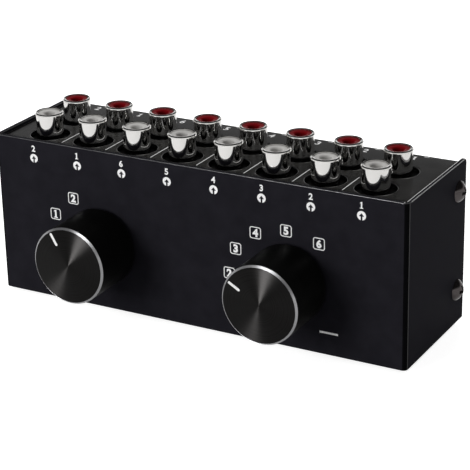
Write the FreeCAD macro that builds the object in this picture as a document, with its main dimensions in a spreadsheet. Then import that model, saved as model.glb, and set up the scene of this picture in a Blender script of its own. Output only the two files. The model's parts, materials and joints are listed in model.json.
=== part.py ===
"""Audio source selector box: a folded steel case with eight twin phono sockets on top and two rotary
switches behind knobs on the front. Millimetres. +X runs along the front to the viewer's right, +Y from
the front to the back and +Z up. The origin is on the floor, in the middle of the space that the box
and its knobs take."""

import FreeCAD
import Part
import math
import os

import Sketcher
from FreeCAD import Placement, Rotation, Vector

SIZES = {
    # Case: a front cover with two sides, and a rear chassis with top, back and base
    "case_width": 132.0,
    "case_depth": 40.0,
    "case_height": 48.6,
    "sheet_wall": 1.2,
    "bend_inside": 0.5,
    "corner_round": 1.4,
    "cover_gap": 0.2,
    "plate_drop": 0.8,
    "rear_drop": 0.6,
    "base_drop": 0.4,
    "lip_height": 6.0,
    "lip_gap": 0.3,
    "relief_width": 1.6,
    "flange_depth": 10.5,
    "flange_inset": 5.0,
    # Side screws
    "screw_thread": 3.0,
    "screw_play": 0.1,
    "screw_head": 6.4,
    "screw_flat": 4.0,
    "screw_head_rise": 2.0,
    "screw_reach": 4.0,
    "screw_from_rear": 5.1,
    "screw_low": 10.4,
    "screw_high": 40.2,
    "recess_span": 3.0,
    "recess_slot": 0.9,
    "recess_depth": 1.0,
    # Feet
    "foot_height": 1.4,
    "foot_width": 10.0,
    "foot_bevel": 0.4,
    "foot_inset_x": 18.0,
    "foot_inset_y": 9.0,
    # Sockets, their blocks and their board
    "socket_edge": 13.5,
    "white_row": 9.1,
    "row_pitch": 14.5,
    "socket_stand": 6.9,
    "plate_hole": 11.7,
    "block_width": 12.4,
    "block_height": 9.4,
    "block_play": 0.3,
    "rim_width": 8.4,
    "rim_height": 1.6,
    "barrel_width": 7.7,
    "sleeve_bore": 6.8,
    "core_play": 0.05,
    "core_drop": 0.35,
    "pin_hole": 3.4,
    "pin_depth": 6.3,
    "board_wall": 1.6,
    "board_side_gap": 2.2,
    "board_front": 3.2,
    "board_rear_gap": 3.0,
    # Spacers that hold the board over the base
    "spacer_flats": 5.5,
    "spacer_inset_x": 7.4,
    "spacer_front": 9.0,
    "spacer_pitch": 18.0,
    # Rotary switches
    "knob_height": 20.0,
    "output_knob_edge": 36.0,
    "input_knob_edge": 35.0,
    "switch_width": 20.0,
    "switch_depth": 11.0,
    "bushing_width": 9.0,
    "bushing_play": 0.1,
    "bushing_reach": 5.0,
    "shaft_width": 6.0,
    "shaft_play": 0.05,
    "shaft_depth": 9.0,
    "shaft_end_gap": 0.3,
    "shaft_flat": 1.5,
    "nut_play": 0.05,
    "nut_flats": 12.0,
    "nut_wall": 2.4,
    "terminal_ring": 15.0,
    "terminal_wide": 1.8,
    "terminal_thick": 0.5,
    "terminal_length": 4.0,
    "ribbon_width": 9.0,
    "ribbon_wall": 0.9,
    "ribbon_run": 4.5,
    "ribbon_bend": 2.5,
    # Knobs
    "knob_reach": 18.3,
    "knob_gap": 1.3,
    "knob_width": 23.0,
    "knob_bevel": 0.7,
    "knob_pocket": 15.4,
    "knob_pocket_play": 0.5,
    "knob_bore_play": 0.05,
    "knob_front_wall": 3.6,
    "pointer_wide": 0.9,
    "pointer_depth": 0.4,
    "pointer_inner": 6.6,
    "pointer_margin": 0.15,
    "pointer_play": 0.02,
    "output_rest_angle": 30.0,
    "input_rest_angle": 60.0,
}
COLUMNS = ["output_2", "output_1", "input_6", "input_5", "input_4", "input_3", "input_2", "input_1"]
ROWS = ["white", "red"]
TERMINALS = 12
CLOSE = 1e-4
# Sides of the small forms that repeat: a nut or bar, a shank or moulding, a tube or head, and a wide hole
HEXAGON = 6
OCTAGON = 8
TUBE_SIDES = 12
ROUND_SIDES = 16

doc = FreeCAD.newDocument("SelectorBox")
sheet = doc.addObject("Spreadsheet::Sheet", "Sizes")
for row, (alias, value) in enumerate(SIZES.items(), start=1):
    sheet.set(f"A{row}", alias)
    sheet.set(f"B{row}", str(value))
    sheet.setAlias(f"B{row}", alias)
doc.recompute()

# Every length below is an expression in the sheet's words. These are the ones used more than once.
W = {
    "half": "(case_width / 2)",
    "shift": "((knob_reach - case_depth) / 2)",
    "inner_half": "(case_width / 2 - sheet_wall - cover_gap)",
    "plate_top": "(case_height - plate_drop)",
    "plate_under": "(case_height - plate_drop - sheet_wall)",
    "base_under": "base_drop",
    "base_top": "(base_drop + sheet_wall)",
    "back_face": "(case_depth - rear_drop)",
    "back_inner": "(case_depth - rear_drop - sheet_wall)",
    "lip_front": "(sheet_wall + lip_gap)",
    "screw_y": "(case_depth - screw_from_rear)",
    "spacer_x": "(case_width / 2 - spacer_inset_x)",
    "first_x": "(socket_edge - case_width / 2)",
    "pitch": f"((case_width - 2 * socket_edge) / {len(COLUMNS) - 1})",
    "output_x": "(output_knob_edge - case_width / 2)",
    "input_x": "(case_width / 2 - input_knob_edge)",
}
W["block_top"] = f"({W['plate_under']} - block_play)"
W["board_top"] = f"({W['block_top']} - block_height)"
W["board_under"] = f"({W['board_top']} - board_wall)"
W["rim_top"] = f"({W['plate_top']} + socket_stand)"
W["core_top"] = f"({W['rim_top']} - core_drop)"
W["bushing_end"] = "(-bushing_reach)"
W["shaft_end"] = "(-knob_reach + knob_front_wall + shaft_end_gap)"
W["shaft_inner"] = "(sheet_wall + shaft_depth)"
W["knob_rear"] = "(-knob_gap)"
W["pocket_end"] = "(-bushing_reach - knob_pocket_play)"
W["terminal_face"] = "(sheet_wall + switch_depth)"
W["terminal_end"] = "(sheet_wall + switch_depth + terminal_length)"
W["pointer_outer"] = "(knob_width / 2 - knob_bevel - pointer_margin)"


def size(text):
    """The text with the shared words filled in and every alias read from the sheet."""
    text = str(text)
    for key in sorted(W, key=len, reverse=True):
        text = text.replace("{" + key + "}", W[key])
    words, word = [], ""
    for mark in text + " ":
        if mark.isalnum() or mark in "._":
            word += mark
            continue
        words.append("Sizes." + word if word in SIZES else word)
        words.append(mark)
        word = ""
    return "".join(words).strip()


def value(text):
    """What the expression is now, for the first guess at a sketch's point."""
    return float(sheet.evalExpression(size(text)))


def bind(thing, **lengths):
    for name, text in lengths.items():
        thing.setExpression(name.replace("__", "."), size(text))


def body(name, at=("0", "0", "0"), turned=None):
    """A body whose own axes are the case's, moved to its place in the box."""
    made = doc.addObject("PartDesign::Body", name)
    made.Label = name
    made.AllowCompound = True
    if turned:
        made.Placement = Placement(Vector(), Rotation(Vector(0, 1, 0), -value(turned)))
        made.setExpression("Placement.Rotation.Angle", f"-1 deg * {size(turned)}")
    bind(
        made,
        Placement__Base__x=at[0],
        Placement__Base__y="{shift} + " + at[1],
        Placement__Base__z="foot_height + " + at[2],
    )
    return made


def origin(owner, role):
    return next(f for f in owner.Origin.OriginFeatures if f.Role == role)


def sketch(owner, name, plane, lift="0", across="0", up="0"):
    """An empty sketch on one of the body's own planes, lifted off it and moved along it."""
    made = owner.newObject("Sketcher::SketchObject", name)
    made.AttachmentSupport = (origin(owner, plane), [""])
    made.MapMode = "FlatFace"
    bind(
        made,
        AttachmentOffset__Base__x=across,
        AttachmentOffset__Base__y=up,
        AttachmentOffset__Base__z=lift,
    )
    return made


def outline(drawn, points):
    """A closed outline of straight sides, each corner held to two expressions."""
    here = [(value(a), value(b)) for a, b in points]
    first = drawn.GeometryCount
    count = len(points)
    for i, start in enumerate(here):
        end = here[(i + 1) % count]
        drawn.addGeometry(Part.LineSegment(Vector(*start, 0), Vector(*end, 0)), False)
    for i in range(count):
        drawn.addConstraint(Sketcher.Constraint("Coincident", first + i, 2, first + (i + 1) % count, 1))
    for i, (a, b) in enumerate(points):
        for kind, text, number in (("DistanceX", a, here[i][0]), ("DistanceY", b, here[i][1])):
            held = drawn.addConstraint(Sketcher.Constraint(kind, -1, 1, first + i, 1, number))
            drawn.setExpression(f"Constraints[{held}]", size(text))


def box_outline(drawn, low, high):
    (a, b), (c, d) = low, high
    outline(drawn, [(a, b), (c, b), (c, d), (a, d)])


def circle(drawn, centre, radius):
    """A circle with its centre and radius held to expressions."""
    x, y, r = value(centre[0]), value(centre[1]), value(radius)
    ring = drawn.addGeometry(Part.Circle(Vector(x, y, 0), Vector(0, 0, 1), r), False)
    held = drawn.addConstraint(Sketcher.Constraint("Radius", ring, r))
    drawn.setExpression(f"Constraints[{held}]", size(radius))
    for kind, text, number in (("DistanceX", centre[0], x), ("DistanceY", centre[1], y)):
        held = drawn.addConstraint(Sketcher.Constraint(kind, -1, 1, ring, 3, number))
        drawn.setExpression(f"Constraints[{held}]", size(text))


def polygon(drawn, sides, width, at=("0", "0"), over_flats=False):
    """An even polygon about a spot, given its width over its corners or over its flats."""
    radius = f"({width}) / 2"
    if over_flats:
        radius += f" / {math.cos(math.pi / sides):.9f}"
    turns = [2 * math.pi * (i + 0.5) / sides for i in range(sides)]
    outline(drawn, [
        (f"{at[0]} + {math.cos(a):.9f} * {radius}", f"{at[1]} + {math.sin(a):.9f} * {radius}")
        for a in turns
    ])


def pad(owner, name, drawn, length, both_ways=False):
    made = owner.newObject("PartDesign::Pad", name)
    made.Profile = drawn
    made.SideType = "Symmetric" if both_ways else "One side"
    bind(made, Length=length)
    doc.recompute()
    return made


def pocket(owner, name, drawn, length=None, flip=False):
    """A cut of the drawn outline. With no length it runs right through, both ways."""
    before = owner.Shape.Volume
    made = owner.newObject("PartDesign::Pocket", name)
    made.Profile = drawn
    if length is None:
        made.SideType = "Symmetric"
        made.Type = "ThroughAll"
    else:
        made.Type = "Length"
        made.Reversed = flip
        bind(made, Length=length)
    doc.recompute()
    if owner.Shape.Volume >= before:
        raise RuntimeError(f"{owner.Label}: {name} cuts nothing")
    return made


def revolve(owner, name, drawn, axis):
    made = owner.newObject("PartDesign::Revolution", name)
    made.Profile = drawn
    made.ReferenceAxis = (drawn, [axis])
    made.Angle = 360
    doc.recompute()
    return made


def near(a, text):
    return abs(a - value(text)) < CLOSE


def edge_names(owner, wanted):
    """The names of the edges of the body so far whose two ends and middle all pass the test."""
    names = []
    for number, edge in enumerate(owner.Tip.Shape.Edges, start=1):
        middle = (edge.FirstParameter + edge.LastParameter) / 2
        spots = [edge.valueAt(t) for t in (edge.FirstParameter, middle, edge.LastParameter)]
        if all(wanted(spot) for spot in spots):
            names.append(f"Edge{number}")
    if not names:
        raise RuntimeError(f"{owner.Label}: no edge to work on")
    return names


def dress(owner, kind, name, wanted, amount):
    """A Fillet's radius or a Chamfer's width along the edges that pass the test."""
    base, names = owner.Tip, edge_names(owner, wanted)
    made = owner.newObject(f"PartDesign::{kind}", name)
    made.Base = (base, names)
    bind(made, **{"Radius" if kind == "Fillet" else "Size": amount})
    doc.recompute()
    return made


def repeat(owner, name, axis, pitch, count):
    """The whole body again, count times along one of its own axes."""
    made = owner.newObject("PartDesign::LinearPattern", name)
    made.TransformMode = "Whole shape"
    made.Direction = (origin(owner, axis), [""])
    made.Mode = "Spacing"
    bind(made, Offset=pitch)
    made.Occurrences = count
    owner.Tip = made
    doc.recompute()
    return made


def mirror(owner, name, plane):
    """The whole body and its mirror image in one of its own planes."""
    made = owner.newObject("PartDesign::Mirrored", name)
    made.TransformMode = "Whole shape"
    made.MirrorPlane = (origin(owner, plane), [""])
    owner.Tip = made
    doc.recompute()
    return made


# Front cover: the front and both sides, one sheet bent twice
cover = body("front_cover")
plan = sketch(cover, "CoverPlan", "XY_Plane")
outline(plan, [
    ("-{half}", "case_depth"),
    ("-{half}", "0"),
    ("{half}", "0"),
    ("{half}", "case_depth"),
    ("{half} - sheet_wall", "case_depth"),
    ("{half} - sheet_wall", "sheet_wall"),
    ("-{half} + sheet_wall", "sheet_wall"),
    ("-{half} + sheet_wall", "case_depth"),
])
pad(cover, "CoverSheet", plan, "case_height")
dress(cover, "Fillet", "CoverBendsOutside",
      lambda p: near(abs(p.x), "{half}") and near(p.y, "0"), "bend_inside + sheet_wall")
dress(cover, "Fillet", "CoverBendsInside",
      lambda p: near(abs(p.x), "{half} - sheet_wall") and near(p.y, "sheet_wall"), "bend_inside")
dress(cover, "Fillet", "CoverRearCorners",
      lambda p: near(p.y, "case_depth") and near(p.z, "case_height"), "corner_round")
bushes = sketch(cover, "BushingHoles", "XZ_Plane")
for axis in ("{output_x}", "{input_x}"):
    polygon(bushes, TUBE_SIDES, "bushing_width + 2 * bushing_play", at=(axis, "knob_height"))
pocket(cover, "BushingCut", bushes)


def screw_holes(owner, name):
    """The clearance holes of the side screws, through both sides of a sheet."""
    drawn = sketch(owner, name, "YZ_Plane")
    for height in ("screw_low", "screw_high"):
        polygon(drawn, OCTAGON, "screw_thread + 2 * screw_play", at=("{screw_y}", height))
    pocket(owner, name + "Cut", drawn)


screw_holes(cover, "SideHoles")

# Rear chassis: top plate, back and base from one sheet, with a short lip behind the front at each end
chassis = body("rear_chassis")
side = sketch(chassis, "ChassisSide", "YZ_Plane")
outline(side, [
    ("{lip_front}", "{plate_top}"),
    ("{back_face}", "{plate_top}"),
    ("{back_face}", "{base_under}"),
    ("{lip_front}", "{base_under}"),
    ("{lip_front}", "{base_under} + lip_height"),
    ("{lip_front} + sheet_wall", "{base_under} + lip_height"),
    ("{lip_front} + sheet_wall", "{base_top}"),
    ("{back_inner}", "{base_top}"),
    ("{back_inner}", "{plate_under}"),
    ("{lip_front} + sheet_wall", "{plate_under}"),
    ("{lip_front} + sheet_wall", "{plate_top} - lip_height"),
    ("{lip_front}", "{plate_top} - lip_height"),
])
pad(chassis, "ChassisSheet", side, "2 * {inner_half}", both_ways=True)


def at_bend(p, ys, zs):
    return any(near(p.y, y) for y in ys) and any(near(p.z, z) for z in zs)


dress(chassis, "Fillet", "ChassisBendsOutside",
      lambda p: at_bend(p, ["{lip_front}", "{back_face}"], ["{plate_top}", "{base_under}"]),
      "bend_inside + sheet_wall")
dress(chassis, "Fillet", "ChassisBendsInside",
      lambda p: at_bend(p, ["{lip_front} + sheet_wall", "{back_inner}"], ["{plate_under}", "{base_top}"]),
      "bend_inside")

# A flange at each end of the back, bent forward between two reliefs, that the side screws go into
flanges = sketch(chassis, "FlangePlan", "XY_Plane", lift="flange_inset")
for sign in ("", "-"):
    box_outline(flanges,
                (f"{sign}({{inner_half}} - sheet_wall)", "{back_face} - flange_depth"),
                (f"{sign}{{inner_half}}", "{back_inner}"))
pad(chassis, "Flanges", flanges, "case_height - 2 * flange_inset")
reliefs = sketch(chassis, "Reliefs", "XZ_Plane", lift="-({back_inner} - bend_inside)")
for sign in ("", "-"):
    reach = f"{sign}({{inner_half}} - sheet_wall - bend_inside - relief_width / 2)"
    box_outline(reliefs, (reach, "flange_inset - relief_width"), (f"{sign}{{half}}", "flange_inset"))
    box_outline(reliefs, (reach, "case_height - flange_inset"),
                (f"{sign}{{half}}", "case_height - flange_inset + relief_width"))
pocket(chassis, "ReliefCut", reliefs, "case_depth")


def on_corner(p, x, y):
    low, high = value("flange_inset") - CLOSE, value("case_height - flange_inset") + CLOSE
    return near(abs(p.x), x) and near(p.y, y) and low < p.z < high


dress(chassis, "Fillet", "FlangeBendsOutside",
      lambda p: on_corner(p, "{inner_half}", "{back_face}"), "bend_inside + sheet_wall")
dress(chassis, "Fillet", "FlangeBendsInside",
      lambda p: on_corner(p, "{inner_half} - sheet_wall", "{back_inner}"), "bend_inside")
screw_holes(chassis, "FlangeHoles")
holes = sketch(chassis, "SocketHoles", "XY_Plane", lift="{board_top}")
for column in range(len(COLUMNS)):
    for row in range(len(ROWS)):
        spot = (f"{{first_x}} + {column} * {{pitch}}", f"white_row + {row} * row_pitch")
        polygon(holes, ROUND_SIDES, "plate_hole", at=spot)
pocket(chassis, "SocketHoleCut", holes, "case_height", flip=True)

# Side screws: two through each side into the chassis flanges, with bevelled heads and a cross recess
screws = body("side_screws")
head = sketch(screws, "ScrewHead", "YZ_Plane", lift="{half}", across="{screw_y}", up="screw_low")
polygon(head, TUBE_SIDES, "screw_head")
pad(screws, "HeadPad", head, "screw_head_rise")
dress(screws, "Chamfer", "HeadBevel",
      lambda p: near(p.x, "{half} + screw_head_rise"), "(screw_head - screw_flat) / 2")
shank = sketch(screws, "ScrewShank", "YZ_Plane", lift="{half} - screw_reach", across="{screw_y}",
               up="screw_low")
polygon(shank, OCTAGON, "screw_thread")
pad(screws, "ShankPad", shank, "screw_reach")
cross = sketch(screws, "CrossRecess", "YZ_Plane", lift="{half} + screw_head_rise", across="{screw_y}",
               up="screw_low")
outline(cross, [
    ("recess_span / 2", "-recess_slot / 2"),
    ("recess_span / 2", "recess_slot / 2"),
    ("recess_slot / 2", "recess_slot / 2"),
    ("recess_slot / 2", "recess_span / 2"),
    ("-recess_slot / 2", "recess_span / 2"),
    ("-recess_slot / 2", "recess_slot / 2"),
    ("-recess_span / 2", "recess_slot / 2"),
    ("-recess_span / 2", "-recess_slot / 2"),
    ("-recess_slot / 2", "-recess_slot / 2"),
    ("-recess_slot / 2", "-recess_span / 2"),
    ("recess_slot / 2", "-recess_span / 2"),
    ("recess_slot / 2", "-recess_slot / 2"),
])
pocket(screws, "CrossCut", cross, "recess_depth")
repeat(screws, "ScrewPair", "Z_Axis", "screw_high - screw_low", 2)
mirror(screws, "ScrewSides", "YZ_Plane")

# Rubber feet, stuck to the base
feet = body("rubber_feet", at=("0", "0", "-foot_height"))
pads = sketch(feet, "FootPlan", "XY_Plane")
polygon(pads, OCTAGON, "foot_width", at=("-{half} + foot_inset_x", "foot_inset_y"))
pad(feet, "FootPad", pads, "foot_height + {base_under}")
dress(feet, "Chamfer", "FootBevel", lambda p: near(p.z, "0"), "foot_bevel")
repeat(feet, "FeetAcross", "X_Axis", "case_width - 2 * foot_inset_x", 2)
repeat(feet, "FeetBack", "Y_Axis", "case_depth - 2 * foot_inset_y", 2)

# Socket board: one printed board under all the sockets
board = body("socket_board")
blank = sketch(board, "BoardPlan", "XY_Plane", lift="{board_under}")
box_outline(blank, ("-{inner_half} + board_side_gap", "board_front"),
            ("{inner_half} - board_side_gap", "case_depth - board_rear_gap"))
pad(board, "BoardSheet", blank, "board_wall")

# Hexagonal spacers that hold the board over the base
spacers = body("board_spacers", at=("-{spacer_x}", "spacer_front", "{base_top}"))
hexes = sketch(spacers, "SpacerPlan", "XY_Plane")
polygon(hexes, HEXAGON, "spacer_flats", over_flats=True)
pad(spacers, "SpacerBar", hexes, "{board_under} - {base_top}")
repeat(spacers, "SpacersBack", "Y_Axis", "spacer_pitch", 2)
repeat(spacers, "SpacersAcross", "X_Axis", "2 * {spacer_x}", 2)


def socket_block(name, column):
    """The black moulded block on the board that carries the two sockets of one column."""
    block = body(f"{name}_socket_block", at=(f"({{first_x}} + {column} * {{pitch}})", "white_row", "0"))
    plan = sketch(block, name + "BlockPlan", "XY_Plane", lift="{board_top}")
    box_outline(plan, ("-block_width / 2", "-block_width / 2"),
                ("block_width / 2", "row_pitch + block_width / 2"))
    pad(block, name + "Block", plan, "block_height")


def socket_sleeves(colour, row):
    """The plated sleeves of one row, each with a barrel and the wider rim that a plug's ring grips."""
    sleeves = body(f"{colour}_sleeves", at=("{first_x}", f"(white_row + {row} * row_pitch)", "0"))
    barrel = sketch(sleeves, colour + "Barrel", "XY_Plane", lift="{block_top}")
    polygon(barrel, TUBE_SIDES, "barrel_width")
    pad(sleeves, colour + "BarrelPad", barrel, "{rim_top} - {block_top}")
    rim = sketch(sleeves, colour + "Rim", "XY_Plane", lift="{rim_top} - rim_height")
    circle(rim, ("0", "0"), "rim_width / 2")
    pad(sleeves, colour + "RimPad", rim, "rim_height")
    bore = sketch(sleeves, colour + "Bore", "XY_Plane")
    polygon(bore, TUBE_SIDES, "sleeve_bore")
    pocket(sleeves, colour + "BoreCut", bore)
    repeat(sleeves, colour + "SleeveRow", "X_Axis", "{pitch}", len(COLUMNS))


def socket_cores(colour, row):
    """The coloured insulators of one row, each with the hole that a plug's pin goes into."""
    cores = body(f"{colour}_cores", at=("{first_x}", f"(white_row + {row} * row_pitch)", "0"))
    plug = sketch(cores, colour + "Core", "XY_Plane", lift="{block_top}")
    polygon(plug, TUBE_SIDES, "sleeve_bore - 2 * core_play")
    pad(cores, colour + "CorePad", plug, "{core_top} - {block_top}")
    pin = sketch(cores, colour + "PinHole", "XY_Plane", lift="{core_top}")
    circle(pin, ("0", "0"), "pin_hole / 2")
    pocket(cores, colour + "PinCut", pin, "pin_depth")
    repeat(cores, colour + "CoreRow", "X_Axis", "{pitch}", len(COLUMNS))


for column, name in enumerate(COLUMNS):
    socket_block(name, column)
for row, colour in enumerate(ROWS):
    socket_sleeves(colour, row)
    socket_cores(colour, row)


def switch_housing(name, at):
    """A rotary switch: a moulded body behind the front, and a bushing through it with the shaft's bore."""
    housing = body(f"{name}_switch_housing", at)
    rear = sketch(housing, name + "HousingPlan", "XZ_Plane", lift="-{terminal_face}")
    polygon(rear, OCTAGON, "switch_width", over_flats=True)
    pad(housing, name + "Housing", rear, "switch_depth")
    bush = sketch(housing, name + "BushingPlan", "XZ_Plane", lift="-sheet_wall")
    polygon(bush, TUBE_SIDES, "bushing_width")
    pad(housing, name + "Bushing", bush, "sheet_wall - {bushing_end}")
    bore = sketch(housing, name + "ShaftBore", "XZ_Plane", lift="-{bushing_end}")
    circle(bore, ("0", "0"), "shaft_width / 2 + shaft_play")
    pocket(housing, name + "ShaftBoreCut", bore, "{shaft_inner} + shaft_end_gap - {bushing_end}")


def switch_terminals(name, at):
    """Solder tabs in a ring on the back of the switch."""
    terminals = body(f"{name}_switch_terminals", at)
    tab = sketch(terminals, name + "TabPlan", "XZ_Plane", lift="-{terminal_end}")
    box_outline(tab, ("-terminal_wide / 2", "(terminal_ring - terminal_thick) / 2"),
                ("terminal_wide / 2", "(terminal_ring + terminal_thick) / 2"))
    pad(terminals, name + "Tab", tab, "terminal_length")
    ring = terminals.newObject("PartDesign::PolarPattern", name + "TabRing")
    ring.TransformMode = "Whole shape"
    ring.Axis = (origin(terminals, "Y_Axis"), [""])
    ring.Angle = 360
    ring.Occurrences = TERMINALS
    terminals.Tip = ring
    doc.recompute()


def switch_nut(name, at):
    """The nut that clamps the front between itself and the switch's body."""
    nut = body(f"{name}_switch_nut", at)
    around = sketch(nut, name + "NutPlan", "XZ_Plane")
    polygon(around, HEXAGON, "nut_flats", over_flats=True)
    polygon(around, TUBE_SIDES, "bushing_width + 2 * nut_play")
    pad(nut, name + "Nut", around, "nut_wall")


def ribbon_lead(name, at):
    """The flat lead from the lowest tabs of the switch, back and up to the socket board."""
    ribbon = body(f"{name}_ribbon_lead", at)
    side = sketch(ribbon, name + "RibbonSide", "YZ_Plane")
    level = "(-terminal_ring / 2)"
    turn = "({terminal_end} + ribbon_run)"
    outline(side, [
        ("{terminal_end}", f"{level} - ribbon_wall / 2"),
        (f"{turn} + ribbon_wall", f"{level} - ribbon_wall / 2"),
        (f"{turn} + ribbon_wall", "{board_under} - knob_height"),
        (turn, "{board_under} - knob_height"),
        (turn, f"{level} + ribbon_wall / 2"),
        ("{terminal_end}", f"{level} + ribbon_wall / 2"),
    ])
    pad(ribbon, name + "Ribbon", side, "ribbon_width", both_ways=True)
    dress(ribbon, "Fillet", name + "RibbonInside",
          lambda p: at_bend(p, [turn], [f"{level} + ribbon_wall / 2"]), "ribbon_bend")
    dress(ribbon, "Fillet", name + "RibbonOutside",
          lambda p: at_bend(p, [f"{turn} + ribbon_wall"], [f"{level} - ribbon_wall / 2"]),
          "ribbon_bend + ribbon_wall")


def shaft_section(drawn, play="0"):
    """What the shaft's flat takes away from a round of the shaft's width, down to the knob's bore."""
    box_outline(drawn, ("-shaft_width / 2", "-shaft_width"), ("shaft_width / 2", f"-shaft_flat - {play}"))


def switch_shaft(name, at, turned):
    """The switch's shaft, with a flat along the end that the knob is pushed onto."""
    shaft = body(f"{name}_switch_shaft", at, turned)
    inner_end = sketch(shaft, name + "ShaftPlan", "XZ_Plane", lift="-{shaft_inner}")
    circle(inner_end, ("0", "0"), "shaft_width / 2")
    pad(shaft, name + "Shaft", inner_end, "{shaft_inner} - {shaft_end}")
    flat = sketch(shaft, name + "ShaftFlat", "XZ_Plane", lift="-{shaft_end}")
    shaft_section(flat)
    pocket(shaft, name + "FlatCut", flat, "{bushing_end} - knob_pocket_play / 2 - {shaft_end}")


def knob(name, at, turned):
    """A turned knob, hollow behind for the nut, with a bevelled face and a slot for its pointer."""
    made = body(f"{name}_knob", at, turned)
    half = sketch(made, name + "KnobSide", "XY_Plane")
    outline(half, [
        ("0", "-knob_reach"),
        ("knob_width / 2 - knob_bevel", "-knob_reach"),
        ("knob_width / 2", "-knob_reach + knob_bevel"),
        ("knob_width / 2", "{knob_rear}"),
        ("0", "{knob_rear}"),
    ])
    revolve(made, name + "KnobTurned", half, "V_Axis")
    hollow = sketch(made, name + "KnobHollow", "XZ_Plane", lift="-{knob_rear}")
    polygon(hollow, ROUND_SIDES, "knob_pocket")
    pocket(made, name + "KnobHollowCut", hollow, "{knob_rear} - {pocket_end}", flip=True)
    bore = sketch(made, name + "KnobBore", "XZ_Plane", lift="-{pocket_end}")
    circle(bore, ("0", "0"), "shaft_width / 2 + knob_bore_play")
    pocket(made, name + "KnobBoreCut", bore, "{pocket_end} - {shaft_end} + shaft_end_gap", flip=True)
    key = sketch(made, name + "KnobFlat", "XZ_Plane", lift="-{pocket_end}")
    shaft_section(key, "knob_bore_play")
    pad(made, name + "KnobFlatPad", key, "{pocket_end} - {shaft_end}")
    slot = sketch(made, name + "PointerSlot", "XZ_Plane", lift="knob_reach")
    box_outline(slot, ("-pointer_wide / 2 - pointer_play", "pointer_inner - pointer_play"),
                ("pointer_wide / 2 + pointer_play", "{pointer_outer} + pointer_play"))
    pocket(made, name + "PointerCut", slot, "pointer_depth")


def knob_pointer(name, at, turned):
    """The pale line let into the knob's face, flush with it."""
    pointer = body(f"{name}_knob_pointer", at, turned)
    bar = sketch(pointer, name + "PointerPlan", "XZ_Plane", lift="knob_reach - pointer_depth")
    box_outline(bar, ("-pointer_wide / 2", "pointer_inner"), ("pointer_wide / 2", "{pointer_outer}"))
    pad(pointer, name + "PointerBar", bar, "pointer_depth")


for name in ("output", "input"):
    axis = (f"{{{name}_x}}", "0", "knob_height")
    switch_housing(name, axis)
    switch_terminals(name, axis)
    switch_nut(name, axis)
    ribbon_lead(name, axis)
    switch_shaft(name, axis, f"{name}_rest_angle")
    knob(name, axis, f"{name}_rest_angle")
    knob_pointer(name, axis, f"{name}_rest_angle")

doc.recompute()
bodies = [thing for thing in doc.Objects if thing.TypeId == "PartDesign::Body"]
for thing in doc.Objects:
    if "Invalid" in thing.State or "Error" in thing.State:
        raise RuntimeError(f"{thing.Label} failed: {thing.State}")
for thing in bodies:
    if thing.Shape.isNull() or not thing.Shape.isValid():
        raise RuntimeError(f"{thing.Label} has no valid shape")
os.makedirs("parts", exist_ok=True)
for thing in bodies:
    thing.Shape.exportStep(f"parts/{thing.Label}.step")
print(len(bodies), "parts,", sum(len(thing.Shape.Solids) for thing in bodies), "solids")
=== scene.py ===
import json
import math

import bpy
import numpy as np
from bpy.props import FloatProperty, FloatVectorProperty, PointerProperty
from mathutils import Matrix, Vector
from mathutils.geometry import tessellate_polygon


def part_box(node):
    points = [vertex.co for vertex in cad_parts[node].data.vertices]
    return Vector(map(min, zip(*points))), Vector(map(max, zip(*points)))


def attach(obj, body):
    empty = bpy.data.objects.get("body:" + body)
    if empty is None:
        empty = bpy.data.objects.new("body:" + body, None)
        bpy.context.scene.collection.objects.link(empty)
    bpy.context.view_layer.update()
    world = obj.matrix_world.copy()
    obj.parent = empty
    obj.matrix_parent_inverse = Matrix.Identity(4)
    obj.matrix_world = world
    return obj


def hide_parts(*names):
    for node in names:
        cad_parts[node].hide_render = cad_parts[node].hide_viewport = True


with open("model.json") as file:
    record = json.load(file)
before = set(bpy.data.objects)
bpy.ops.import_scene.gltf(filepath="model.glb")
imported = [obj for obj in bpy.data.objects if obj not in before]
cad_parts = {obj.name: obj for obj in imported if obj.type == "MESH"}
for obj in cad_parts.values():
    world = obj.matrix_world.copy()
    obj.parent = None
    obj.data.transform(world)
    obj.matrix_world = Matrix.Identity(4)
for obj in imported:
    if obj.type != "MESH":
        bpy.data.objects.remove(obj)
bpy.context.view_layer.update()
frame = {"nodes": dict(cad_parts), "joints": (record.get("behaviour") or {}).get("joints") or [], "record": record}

bl_info = {
    "name": "Selector Box",
    "version": (1, 0, 0),
    "blender": (4, 5, 0),
    "location": "View3D > Sidebar > Selector Box",
    "description": "Dresses a folded steel selector box with its sockets, knobs, screws and printing",
    "category": "Object",
}

MM = 0.001
# Lengths closer than this count as the same
CLOSE = 0.0001 * MM


def node_box(name):
    """The lowest and highest corner of a CAD node, as arrays in metres."""
    low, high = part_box(name)
    return np.array(low), np.array(high)


COVER_LOW, COVER_HIGH = node_box("front_cover")
CHASSIS_LOW, CHASSIS_HIGH = node_box("rear_chassis")
SLEEVE_LOW, SLEEVE_HIGH = node_box("white_sleeves")
CORE_LOW, CORE_HIGH = node_box("white_cores")
MOUNTS = {mount["name"]: mount for mount in frame["record"]["mounts"]}
WHITE_END = "_white_ring"
# The name of a column ends with its number
COLUMNS = [name[: -len(WHITE_END)] for name in MOUNTS if name.endswith(WHITE_END)]
COLOURS = ("white", "red")
CONTROLS = ("output", "input")
RIM_RADIUS = MOUNTS[COLUMNS[0] + WHITE_END]["dims"]["r_mm"] * MM
PIN_HOLE = {key: value * MM for key, value in MOUNTS[COLUMNS[0] + "_white_pin_hole"]["dims"].items()}
AXES = {joint["child"]: np.array(joint["pos_m"]) for joint in frame["joints"]}


def socket_places(hue):
    """The middle of each socket of one row, at the height of the floor."""
    return np.array([(*MOUNTS[f"{column}_{hue}_ring"]["pos_m"][:2], 0) for column in COLUMNS])


def length(name, description, millimetres):
    default = millimetres * MM
    return FloatProperty(name=name, description=description, default=default, unit="LENGTH", precision=5)


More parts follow.
